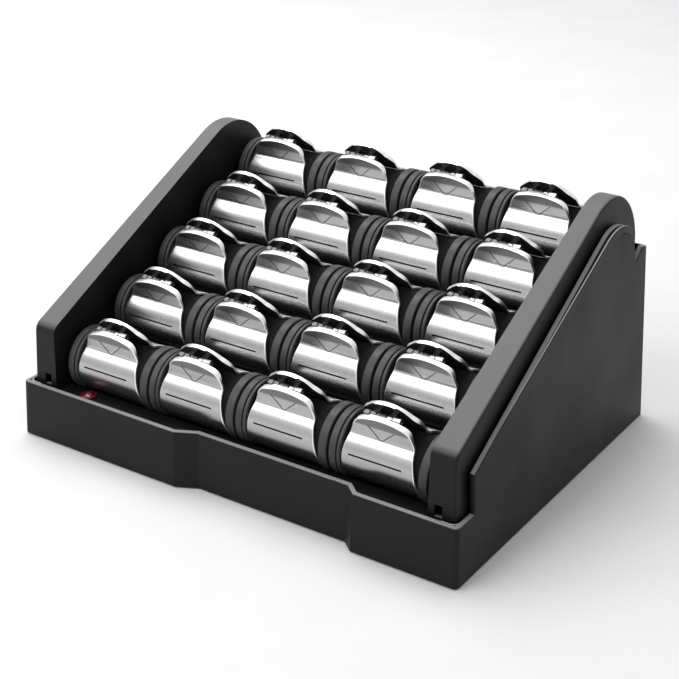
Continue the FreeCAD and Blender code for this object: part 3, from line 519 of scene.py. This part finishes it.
# the lip's depth behind its fold: least on the right and on the left, and where it starts to deepen
LIP_LEAST_RIGHT = 0.75
LIP_LEAST_LEFT = 0.35
LIP_DEEPENS_BELOW_CREST = 6.5
LIP_DEEPENS_OVER = 6
LIP_DEEP_EXTRA = 0.8
SHOULDER_SHARE = 0.16
LINE_RADIUS = 0.24
PRESSED_LINE = [(-8.9, 23.4), (-1.3, 15.5, 2.6), (6.6, 22.6)]
PIN_RADIUS = 1.05
PIN_SPAN = (-14.2, 7.3)
FRONT_KNUCKLES = [(3.3, 4.6, 2.25), (-13.3, 3.0, 1.9)]
REAR_KNUCKLES = [(-0.1, 3.1, 1.9), (-10.0, 3.4, 1.9)]
KNUCKLE_BORE = 1.1
SPRING_SPAN = (-6.3, -0.3)
SPRING_RADIUS = 2.1
WIRE_RADIUS = 0.38


def between(table, level):
    """The edge's place at a level, along the straight runs of its table."""
    for (low, first), (high, second) in zip(table, table[1:]):
        if level <= high:
            return first + (second - first) * (level - low) / (high - low)
    return table[-1][1]


def edge_place(table, level):
    """The same, with the corners between runs eased over a few millimetres."""
    return sum(between(table, level + shift) for shift in (-2.4, -0.8, 0.8, 2.4)) / 4


def round_place(angle):
    """Ahead and level of the jaw's outside at an angle from the hinge direction."""
    turn = math.radians(angle)
    return Vector((CLIP_RADIUS * math.sin(turn), CLIP_RADIUS * math.cos(turn)))


NECK = round_place(NECK_ANGLE)


def wall_ahead(level):
    """How far in front of the hinge the jaw's leaning wall is at a level."""
    return NECK.x - LEAN * (level - NECK.y)


class Jaw:
    """The sheet of a jaw: its round, its neck and its wall as a grid, and the lip folded round it."""

    def __init__(self, crest_level, crest_radius, lip_back, deep_span):
        self.crest_level = crest_level
        self.crest_radius = crest_radius
        self.lip_back = lip_back
        self.deep_span = deep_span
        self.wall_start = NECK.y + NECK_REACH
        self.columns = self.column_places()
        self.build()

    def column_places(self):
        """Fractions across the jaw, with one at each end of the slit."""
        left = between(LEFT_EDGE, round_place(SLIT_ANGLE).y)
        right = between(RIGHT_EDGE, round_place(SLIT_ANGLE).y)
        slit_left = (SLIT_SPAN[0] - left) / (right - left)
        slit_right = (SLIT_SPAN[1] - left) / (right - left)
        ends = [slit_left * step / 4 for step in range(4)]
        middle = [slit_left + (slit_right - slit_left) * step / 28 for step in range(29)]
        others = [slit_right + (1 - slit_right) * step / 5 for step in range(1, 6)]
        self.slit_columns = (len(ends), len(ends) + 28)
        return ends + middle + others

    def crest(self, part):
        """The top edge from its left shoulder to its right one, as (across, level)."""
        shift = self.crest_level - FRONT_CREST
        left_foot = Vector((LEFT_EDGE[-1][1], LEFT_EDGE[-1][0] + shift))
        right_foot = Vector((RIGHT_EDGE[-1][1], RIGHT_EDGE[-1][0] + shift))
        left_top = Vector((CREST_MIDDLE - CREST_HALF, self.crest_level))
        right_top = Vector((CREST_MIDDLE + CREST_HALF, self.crest_level))
        shoulder = SHOULDER_SHARE
        if part < shoulder:
            return arc_point(left_foot, left_top, SHOULDER_RADIUS, part / shoulder)
        if part > 1 - shoulder:
            return arc_point(right_top, right_foot, SHOULDER_RADIUS, (part - 1 + shoulder) / shoulder)
        return arc_point(left_top, right_top, self.crest_radius, (part - shoulder) / (1 - shoulder * 2))

    def crest_inside(self, part):
        """The same, moved inwards to where the fold starts."""
        step = 0.004
        along = self.crest(min(part + step, 1)) - self.crest(max(part - step, 0))
        return self.crest(part) - Vector((-along.y, along.x)).normalized() * FOLD

    def level_row(self, ahead, level):
        """A row of points across the jaw, between its edges less the fold."""
        left = edge_place(LEFT_EDGE, level) + FOLD
        right = edge_place(RIGHT_EDGE, level) - FOLD
        return [Vector((left + (right - left) * column, -ahead, level)) for column in self.columns]

    def build(self):
        """Rows of points from the jaw's foot to its crest, with the outward direction of each row."""
        slit_half = math.degrees(SLIT_WIDTH / 2 / CLIP_RADIUS)
        lower, upper = SLIT_ANGLE + slit_half, SLIT_ANGLE - slit_half
        neck_start = NECK_ANGLE + math.degrees(NECK_REACH / CLIP_RADIUS)
        angles = [FOOT_ANGLE + (lower - FOOT_ANGLE) * step / 12 for step in range(13)]
        self.slit_row = len(angles) - 1
        angles += [upper + (neck_start - upper) * step / 9 for step in range(10)]
        path = [round_place(angle) for angle in angles]
        start = path[-1]
        stop = Vector((wall_ahead(self.wall_start), self.wall_start))
        for step in range(1, 7):
            part = step / 6
            path.append(start * (1 - part) ** 2 + NECK * 2 * part * (1 - part) + stop * part ** 2)
        self.rows = [self.level_row(*place) for place in path]
        self.facings = []
        for number in range(len(path)):
            run = path[min(number + 1, len(path) - 1)] - path[max(number - 1, 0)]
            self.facings.append(Vector((0, -run.y, -run.x)).normalized())
        self.wall_row = len(self.rows) - 1
        wall_facing = Vector((0, -1, LEAN)).normalized()
        low_row = self.rows[-1]
        for step in range(1, 9):
            row = []
            for column, low in zip(self.columns, low_row):
                across, level = Vector((low.x, low.z)).lerp(self.crest_inside(column), step / 8)
                row.append(Vector((across, -wall_ahead(level), level)))
            self.rows.append(row)
            self.facings.append(wall_facing)

    def lip_depth(self, place):
        """How far the lip reaches back behind its fold at a place on the border."""
        least = LIP_LEAST_RIGHT if place.x > 0 else LIP_LEAST_LEFT
        above = place.z - self.crest_level + LIP_DEEPENS_BELOW_CREST
        rise = min(max(above / LIP_DEEPENS_OVER, 0.0), 1.0)
        eased = rise * rise * (3 - 2 * rise)
        full = -place.y - FOLD - self.lip_back
        if self.deep_span[0] < place.x < self.deep_span[1]:
            full += LIP_DEEP_EXTRA
        return least + max(full - least, 0) * eased

    def sheet(self):
        """Points and faces of the solid sheet, and where its wall's, round's and lip's faces end."""
        wide = len(self.columns)
        tall = len(self.rows)
        points = [point for row in self.rows for point in row]
        facings = [facing for facing in self.facings for _ in range(wide)]
        slit_low, slit_high = self.slit_columns
        faces = []
        for row in range(tall - 1, 0, -1):
            for column in range(wide - 1):
                if row - 1 == self.slit_row and slit_low <= column < slit_high:
                    continue
                first = (row - 1) * wide + column
                faces.append([first, first + 1, first + wide + 1, first + wide])
        wall_faces = (tall - 1 - self.wall_row) * (wide - 1)
        round_faces = len(faces)
        left = [row * wide for row in range(tall)]
        top = [(tall - 1) * wide + column for column in range(1, wide)]
        right = [row * wide + wide - 1 for row in range(tall - 2, -1, -1)]
        border = left + top + right
        before = border
        for turn, reach in ((30, 0), (60, 0), (90, 0), (90, 0.5), (90, 1)):
            angle = math.radians(turn)
            after = []
            for number, corner in enumerate(border):
                place = points[corner]
                facing = facings[corner]
                run = points[border[min(number + 1, len(border) - 1)]] - points[border[max(number - 1, 0)]]
                outward = facing.cross(run).normalized()
                depth = FOLD * (1 - math.cos(angle)) + self.lip_depth(place) * reach
                after.append(len(points))
                points.append(place + outward * FOLD * math.sin(angle) - facing * depth)
            for number in range(len(border) - 1):
                faces.append([before[number], before[number + 1], after[number + 1], after[number]])
            before = after
        solid_points, solid_faces = thickened(points, faces, SHEET)
        return solid_points, solid_faces, (wall_faces, round_faces, len(faces))


def arc_point(start, stop, radius, part):
    """A place on the arc that turns right from start to stop."""
    chord = stop - start
    half = chord.length / 2
    rise = math.sqrt(max(radius * radius - half * half, 0))
    inward = Vector((chord.y, -chord.x)).normalized()
    centre = (start + stop) / 2 + inward * rise
    first = start - centre
    swing = -2 * math.asin(min(half / radius, 1)) * part
    turned = Vector((first.x * math.cos(swing) - first.y * math.sin(swing),
                     first.x * math.sin(swing) + first.y * math.cos(swing)))
    return centre + turned


def thickened(points, faces, thickness):
    """A sheet's faces made solid, away from the side they face."""
    normals = [Vector() for point in points]
    for face in faces:
        first, second, third, fourth = [points[corner] for corner in face]
        normal = (third - first).cross(fourth - second)
        if normal.length > 0:
            normal.normalize()
        for corner in face:
            normals[corner] += normal
    count = len(points)
    inner = []
    for point, normal in zip(points, normals):
        inner.append(point - normal.normalized() * thickness)
    solid = list(faces) + [[corner + count for corner in face[::-1]] for face in faces]
    edges = {}
    for face in faces:
        for start, stop in zip(face, face[1:] + face[:1]):
            if (stop, start) in edges:
                del edges[(stop, start)]
            else:
                edges[(start, stop)] = True
    for start, stop in edges:
        solid.append([stop, start, start + count, stop + count])
    return points + inner, solid


def pressed_line():
    """The pressed V on the jaw's wall, as a thin line laid on the sheet, which carries the crease's painted
    shade.
    """
    neck_run = 3.0
    neck_bulge = 1.4
    places = []
    outline = softened(PRESSED_LINE, 8)
    fine = []
    for first, second in zip(outline, outline[1:]):
        fine += [first.lerp(second, step / 3) for step in range(3)]
    for across, level in fine + [outline[-1]]:
        if level > NECK.y + NECK_REACH:
            ahead = wall_ahead(level)
        else:
            part = min(max((NECK.y + NECK_REACH - level) / neck_run, 0), 1)
            ahead = wall_ahead(level) + neck_bulge * part * part
        places.append((across, -ahead, level))
    return tube_along(places, LINE_RADIUS)


def hinge_rings(outline, segments):
    """Points of a ring about the hinge for each (along X, radius) of the outline."""
    points = []
    for along, radius in outline:
        for segment in range(segments):
            angle = math.tau * segment / segments
            points.append(Vector((along, radius * math.cos(angle), HINGE_LEVEL + radius * math.sin(angle))))
    return points


def knuckle_ring(left, width, outer, inner, segments=28):
    """A rolled knuckle about the hinge, as points and faces."""
    edge = 0.25
    outline = [
        (left + edge, outer), (left + width - edge, outer), (left + width, outer - edge),
        (left + width, inner), (left, inner), (left, outer - edge),
    ]
    points = hinge_rings(outline, segments)
    faces = []
    count = len(outline)
    for number in range(count):
        for segment in range(segments):
            after = (segment + 1) % segments
            base = number * segments
            other = (number + 1) % count * segments
            faces.append([base + segment, other + segment, other + after, base + after])
    return points, faces


def web(left, width, ahead_from, ahead_to, low, high):
    """The strip of sheet between a jaw's wall and its knuckle."""
    corners = [(left, low), (left + width, low), (left + width, high), (left, high)]
    points = []
    for ahead in (ahead_from, ahead_to):
        points += [Vector((across, -ahead, level)) for across, level in corners]
    faces = [[0, 1, 2, 3], [7, 6, 5, 4]]
    for corner in range(4):
        after = (corner + 1) % 4
        faces.append([corner, corner + 4, after + 4, after])
    return points, faces


WEB_LOW = 0.8
WEB_HIGH = 0.5
WEB_PAST_BORE = 0.3
ROUND_SLOT, LINE_SLOT, WALL_SLOT, LIP_SLOT, INNER_SLOT = range(5)


def jaw_mesh(name, jaw, knuckles, mirrored_jaw):
    """A jaw with its pressed line, knuckles and webs. Only the first knuckle keeps the round's steel; the
    other knuckles, the webs and the jaw's inside get the painted shade of the darker inner steel.
    """
    points, faces, (wall_end, round_end, lip_end) = jaw.sheet()
    sheet_end = len(faces)
    parts = [(points, faces), pressed_line()]
    line_end = sheet_end + len(parts[1][1])
    front = wall_ahead(HINGE_LEVEL) - SHEET / 2
    back = KNUCKLE_BORE + WEB_PAST_BORE
    for left, width, radius in knuckles:
        parts.append(knuckle_ring(left, width, radius, KNUCKLE_BORE))
        parts.append(web(left, width, front, back, HINGE_LEVEL - WEB_LOW, HINGE_LEVEL + WEB_HIGH))
    bright_end = line_end + len(parts[2][1])
    points, faces = joined(parts)
    if mirrored_jaw:
        points = [Vector((point.x, -point.y, point.z)) for point in points]
        faces = [face[::-1] for face in faces]
    materials = [STEEL, CREASE_SHADE_STEEL, WALL_STEEL, LIT_LIP_STEEL, SHADED_INNER_STEEL]
    mesh = make_mesh(name, points, faces, materials, sharp=40)
    runs = [
        (wall_end, WALL_SLOT), (round_end, ROUND_SLOT), (lip_end, LIP_SLOT), (sheet_end, INNER_SLOT),
        (line_end, LINE_SLOT), (bright_end, ROUND_SLOT), (len(faces), INNER_SLOT),
    ]
    for face in mesh.polygons:
        face.material_index = next(slot for end, slot in runs if face.index < end)
    return mesh


def hinge_mesh():
    """The pin, narrowed at its ends, and the torsion spring with its two legs."""
    left, right = PIN_SPAN
    spring_left, spring_right = SPRING_SPAN
    end_radius = PIN_RADIUS * 0.6
    end_length = 0.3
    pin_outline = [
        (left, 0), (left, end_radius), (left + end_length, PIN_RADIUS),
        (right - end_length, PIN_RADIUS), (right, end_radius), (right, 0),
    ]
    segments = 20
    points = hinge_rings(pin_outline, segments)
    faces = []
    for number in range(len(pin_outline) - 1):
        for segment in range(segments):
            after = (segment + 1) % segments
            base = number * segments
            faces.append([base + segment, base + segments + segment, base + segments + after, base + after])
    turns = 5.5
    coil_start = math.radians(200)
    leg_ahead, leg_foot_ahead = 2.6, 3.6
    leg_drop, leg_foot_drop = 2.5, 5.5
    steps = int(turns * 18)
    coil_radius = SPRING_RADIUS - WIRE_RADIUS
    reach = spring_right - spring_left - WIRE_RADIUS * 2
    coil = []
    for step in range(steps + 1):
        angle = coil_start + math.tau * turns * step / steps
        along = spring_left + WIRE_RADIUS + reach * step / steps
        coil.append((along, coil_radius * math.cos(angle), HINGE_LEVEL + coil_radius * math.sin(angle)))
    foot_level, leg_level = HINGE_LEVEL - leg_foot_drop, HINGE_LEVEL - leg_drop
    front_leg = [(coil[0][0], -leg_foot_ahead, foot_level), (coil[0][0], -leg_ahead, leg_level)]
    rear_leg = [(coil[-1][0], leg_ahead, leg_level), (coil[-1][0], leg_foot_ahead, foot_level)]
    spring = tube_along(front_leg + coil + rear_leg, WIRE_RADIUS)
    all_points, all_faces = joined([(points, faces), spring])
    return make_mesh("clip_hinge", all_points, all_faces, [SPRING], sharp=40)


def make_rollers_and_clips():
    """A roller and its clip at every place. Only the front row's jaws have bodies of their own."""
    roller = roller_mesh()
    front_sheet = Jaw(crest_level=FRONT_CREST, crest_radius=42.0, lip_back=2.5, deep_span=(-9.6, 1.9))
    rear_sheet = Jaw(crest_level=27.0, crest_radius=19.0, lip_back=3.1, deep_span=(-9.0, 4.0))
    front = jaw_mesh("front_jaw", front_sheet, FRONT_KNUCKLES, False)
    rear = jaw_mesh("rear_jaw", rear_sheet, REAR_KNUCKLES, True)
    hinge = hinge_mesh()
    for row, ending, middle in spots():
        body = "roller_and_clip_" + ending
        upright = Matrix.Translation(middle * MM)
        tilted = upright @ Matrix.Rotation(CLIP_TILT, 4, "X")
        piece = place_object("roller_look_" + ending, roller, upright, body)
        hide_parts("roller_" + ending)
        front_body = "front_jaw_" + ending if row == 1 else body
        rear_body = "rear_jaw_" + ending if row == 1 else body
        front_piece = place_object("clip_front_" + ending, front, tilted, front_body)
        rear_piece = place_object("clip_rear_" + ending, rear, tilted, rear_body)
        hinge_piece = place_object("clip_hinge_" + ending, hinge, tilted, body)
        if row == 1:
            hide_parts("clip_front_jaw_" + ending)
            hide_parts("clip_rear_jaw_" + ending)
            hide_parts("clip_pin_and_spring_" + ending)
        else:
            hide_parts("clip_" + ending)


# ---------------------------------------------------------------- seam strips
# A strip fills the seam between each cheek and the shell, and follows the shell's side edge. Its pale top
# is a painted highlight for the lit rims along the seam.

# the shell's side edge: its front level, its step, its slope (level = start + rise * Y) and its arch
FRONT_EDGE = 34.3
STEP_FRONT = -94.0
SLOPE_START = 105.8
SLOPE_RISE = 0.525
ARCH_RADIUS = 29.0
ARCH_REAR = 90.5
# the strip: its middle, inset from the shell's side, its section, and its run round the cheek
SEAM_INSET = 3.75
SEAM_MIDDLE = node_box("outer_shell")[1].x - SEAM_INSET
SEAM_HALF = 0.6
SEAM_DEPTH = 3.8
SEAM_DROP = 0.1
SEAM_BEHIND_STEP = 0.3
SEAM_FOOT_RADIUS = 1.2
SEAM_SHOULDER_RADIUS = 3.0
SEAM_START = 133.0
SEAM_FRONT = -107.6
SEAM_TURN = 4.0
SEAM_END_ANGLE = 52.0


def seam_outline():
    """The shell's side edge as (along Y, level), from the step in front to just past the arch's top."""
    lean = math.atan(SLOPE_RISE)
    middle = Vector((ARCH_REAR - ARCH_RADIUS, 0))
    middle.y = SLOPE_START + SLOPE_RISE * middle.x - ARCH_RADIUS / math.cos(lean)
    step_back = STEP_FRONT + SEAM_BEHIND_STEP
    ahead_of_step = SEAM_FRONT + 6
    corners = softened([
        (step_back, FRONT_EDGE, SEAM_FOOT_RADIUS),
        (step_back, SLOPE_START + SLOPE_RISE * STEP_FRONT, SEAM_SHOULDER_RADIUS),
        (middle.x - ARCH_RADIUS * math.sin(lean), middle.y + ARCH_RADIUS * math.cos(lean)),
        (ahead_of_step, FRONT_EDGE),
    ])
    places = corners[:-1]
    first = math.pi / 2 + lean
    last = math.radians(SEAM_END_ANGLE)
    steps = 16
    for step in range(1, steps + 1):
        angle = first + (last - first) * step / steps
        places.append(middle + Vector((math.cos(angle), math.sin(angle))) * ARCH_RADIUS)
    return places


def seam_path():
    """Places and outward directions of the strip's top, for the right side."""
    places = []
    level = FRONT_EDGE - SEAM_DROP
    up = Vector((0, 0, 1))
    places.append((Vector((SEAM_START, SEAM_FRONT, level)), up))
    corner = Vector((SEAM_MIDDLE - SEAM_TURN, SEAM_FRONT + SEAM_TURN, level))
    for step in range(9):
        angle = math.radians(-90 + 90 * step / 8)
        places.append((corner + Vector((math.cos(angle), math.sin(angle), 0)) * SEAM_TURN, up))
    outline = seam_outline()
    for number, place in enumerate(outline):
        run = outline[min(number + 1, len(outline) - 1)] - outline[max(number - 1, 0)]
        outward = Vector((0, -run.y, run.x)).normalized()
        places.append((Vector((SEAM_MIDDLE, place.x, place.y)) - outward * SEAM_DROP, outward))
    return places


def seam_mesh(side):
    """A strip with a rounded top swept along the seam, on the right for side 1, the left for -1."""
    rounding = [(1.0, -SEAM_DEPTH), (1.0, -0.5), (0.8, -0.15), (0.3, 0.0)]
    inner_half = [(-SEAM_HALF * share, out) for share, out in rounding]
    section = inner_half + [(-over, out) for over, out in inner_half[::-1]]
    path = seam_path()
    count = len(section)
    points = []
    faces = []
    for number, (place, outward) in enumerate(path):
        run = path[min(number + 1, len(path) - 1)][0] - path[max(number - 1, 0)][0]
        across = run.cross(outward).normalized()
        for over, out in section:
            corner = place + across * over + outward * out
            points.append(Vector((corner.x * side, corner.y, corner.z)))
    for number in range(len(path) - 1):
        for step in range(count):
            after = (step + 1) % count
            base = number * count
            face = [base + step, base + count + step, base + count + after, base + after]
            faces.append(face[::side])
    faces.append(list(range(count))[::side])
    faces.append([(len(path) - 1) * count + step for step in range(count)][::-side])
    return make_mesh("seam_strip", points, faces, [SEAM_PLASTIC], sharp=60)


def make_seam_strips():
    """One strip on each side, riding on the base."""
    for name, side in (("seam_strip_left", -1), ("seam_strip_right", 1)):
        place_object(name, seam_mesh(side), Matrix.Identity(4), "base")


# ---------------------------------------------------------------- housing

def paint_housing():
    """Materials for the CAD pieces that stay as they are."""
    paint("outer_shell", SHELL_PLASTIC)
    for node in ("left_cheek", "right_cheek"):
        paint(node, CHEEK_PLASTIC)
    for node in ("rack_tray", "bottom_plate"):
        paint(node, TRAY_PLASTIC)
    paint("heater_cradles", heater_aluminium())
    paint("heating_element", heater_rod_steel())
    paint("thermostat", zinc_steel())
    paint("housing_screws", zinc_steel())
    paint("rubber_feet", foot_rubber())
    paint("cord_gland", foot_rubber())
    paint("indicator_lens", lens_red())


# ---------------------------------------------------------------- floor, light and camera

def make_floor():
    """A wide flat floor, in metres."""
    reach = 6.0
    mesh = bpy.data.meshes.new("floor")
    corners = [(-reach, -reach, 0), (reach, -reach, 0), (reach, reach, 0), (-reach, reach, 0)]
    mesh.from_pydata(corners, [], [(0, 1, 2, 3)])
    mesh.materials.append(floor_paper())
    floor = bpy.data.objects.new("floor", mesh)
    bpy.context.scene.collection.objects.link(floor)


def make_world(level):
    """Even white light from all round."""
    world = bpy.data.worlds.new("studio")
    world.use_nodes = True
    background = world.node_tree.nodes["Background"]
    background.inputs["Color"].default_value = (1, 1, 1, 1)
    background.inputs["Strength"].default_value = level
    bpy.context.scene.world = world


def facing(back, right):
    """The turn of a light or camera that looks away from back, with right along its own X."""
    return Matrix((right, back.cross(right), back)).transposed().to_4x4()


def soft_box(name, place, aim, wide, high, brightness):
    """A rectangular light that faces its aim, with its width along X. Metres here."""
    data = bpy.data.lights.new(name, "AREA")
    data.shape = "RECTANGLE"
    data.size = wide
    data.size_y = high
    data.energy = brightness * wide * high * math.pi
    light = bpy.data.objects.new(name, data)
    bpy.context.scene.collection.objects.link(light)
    back = (Vector(place) - Vector(aim)).normalized()
    right = Vector((1, 0, 0))
    right = (right - back * right.dot(back)).normalized()
    light.matrix_world = Matrix.Translation(place) @ facing(back, right)


def make_camera():
    """The camera at the photograph's angle: 34 degrees round to the right, 25 degrees up."""
    azimuth = math.radians(33.94)
    elevation = math.radians(24.97)
    distance = 0.85
    aim = Vector((0.0029, -0.0021, 0.0564))
    flat = math.cos(elevation)
    back = Vector((math.sin(azimuth) * flat, -math.cos(azimuth) * flat, math.sin(elevation)))
    right = Vector((math.cos(azimuth), math.sin(azimuth), 0))
    data = bpy.data.cameras.new("camera")
    data.sensor_width = 36
    data.lens = 78.24
    data.clip_start = 0.05
    data.clip_end = 20
    camera = bpy.data.objects.new("camera", data)
    bpy.context.scene.collection.objects.link(camera)
    camera.matrix_world = Matrix.Translation(aim + back * distance) @ facing(back, right)
    bpy.context.scene.camera = camera


def make_studio():
    """Floor, even light, two soft boxes and the camera. Places are in metres."""
    make_floor()
    make_world(0.8)
    soft_box("front_strip", (-0.85, -1.06, 1.10), (-0.85, 0, 0.05), 1.6, 0.75, 4.0)
    soft_box("overhead", (-0.75, 0.35, 1.5), (-0.75, 0.2, 0.05), 1.6, 1.0, 4.5)
    make_camera()
    bpy.context.scene.view_settings.view_transform = "Standard"


paint_housing()
make_seam_strips()
make_rollers_and_clips()
make_studio()
